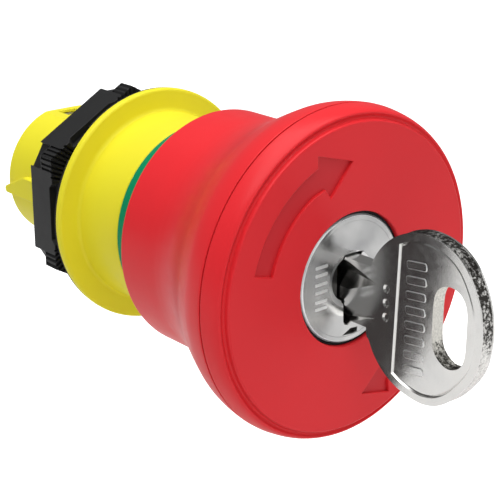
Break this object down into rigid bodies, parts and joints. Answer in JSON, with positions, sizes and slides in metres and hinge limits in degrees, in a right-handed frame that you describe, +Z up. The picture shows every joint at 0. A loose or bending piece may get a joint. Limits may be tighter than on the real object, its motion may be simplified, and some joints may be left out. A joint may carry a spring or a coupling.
{
  "type": "emergency stop button",
  "caption": "Key-release emergency stop push button with a red mushroom head, green status ring, yellow flanged collar and threaded barrel for a round panel hole.",
  "frame": {"origin": "on the push axis, at the centre of the pusher's rear face with the head out, 19.4 mm behind the panel's front surface (the gasket seats at Y = -0.0194)", "axes": "-Y points out of the panel through the mushroom head towards the person, +Y into the enclosure, +Z up with the key slot vertical, +X to the right of someone facing the head"},
  "size_m": [0.0402, 0.0798, 0.0402],
  "materials": {
    "red_plastic": "satin moulded safety red",
    "yellow_plastic": "satin moulded yellow",
    "green_plastic": "satin moulded green",
    "black_plastic": "fine grained black polyamide",
    "white_plastic": "natural acetal",
    "black_rubber": "matt moulded rubber",
    "nickel": "nickel-plated die casting, fine turned face with a bright rim",
    "key_nickel": "nickel-plated stamped brass with a rough sheared edge",
    "plain_steel": "zinc-plated steel",
    "spring_steel": "drawn spring wire",
    "brass": "machined and stamped brass"
  },
  "bodies": {
    "housing_body": {"housing": "yellow_plastic", "panel_gasket": "black_rubber", "fixing_nut": "black_plastic", "status_ring": "green_plastic", "guide_sleeve": "plain_steel", "rear_bush": "white_plastic", "retaining_ring": "plain_steel", "return_spring": "spring_steel"},
    "head_body": {"mushroom_skirt": "red_plastic", "mushroom_cap": "red_plastic", "lock_stator": "nickel", "lock_seal": "black_rubber", "lock_nut": "brass", "plunger": "white_plastic", "plunger_screw_1": "plain_steel", "plunger_screw_2": "plain_steel", "plunger_screw_3": "plain_steel", "shaft_seal": "black_rubber", "pusher": "black_plastic", "latch_spring_top": "spring_steel", "latch_spring_bottom": "spring_steel"},
    "plug_body": {"lock_plug": "nickel", "wafer_1": "brass", "wafer_2": "brass", "wafer_3": "brass", "wafer_4": "brass", "wafer_5": "brass", "lock_cam": "plain_steel", "cam_screw": "plain_steel"},
    "key_body": {"key": "key_nickel"},
    "pin_top_body": {"latch_pin_top": "plain_steel"},
    "pin_bottom_body": {"latch_pin_bottom": "plain_steel"}
  },
  "joints": [
    {"name": "head_press", "type": "slide", "parent": "housing_body", "child": "head_body", "axis": [0, 1, 0], "range_m": [0, 0.0045], "deforming": ["return_spring"]},
    {"name": "plug_turn", "type": "hinge", "parent": "head_body", "child": "plug_body", "pos_m": [0, -0.0586, 0], "axis": [0, 1, 0], "range_deg": [0, 60]},
    {"name": "key_withdraw", "type": "slide", "parent": "plug_body", "child": "key_body", "axis": [0, -1, 0], "range_m": [0, 0.03]},
    {"name": "latch_pin_top_draw", "type": "slide", "parent": "head_body", "child": "pin_top_body", "axis": [0, 0, -1], "range_m": [0, 0.00121], "deforming": ["latch_spring_top"]},
    {"name": "latch_pin_bottom_draw", "type": "slide", "parent": "head_body", "child": "pin_bottom_body", "axis": [0, 0, 1], "range_m": [0, 0.00121], "deforming": ["latch_spring_bottom"]}
  ],
  "couplings": [
    {"joint": "latch_pin_top_draw", "follows": "plug_turn", "m_per_rad": 0.0011459},
    {"joint": "latch_pin_bottom_draw", "follows": "plug_turn", "m_per_rad": 0.0011459}
  ]
}
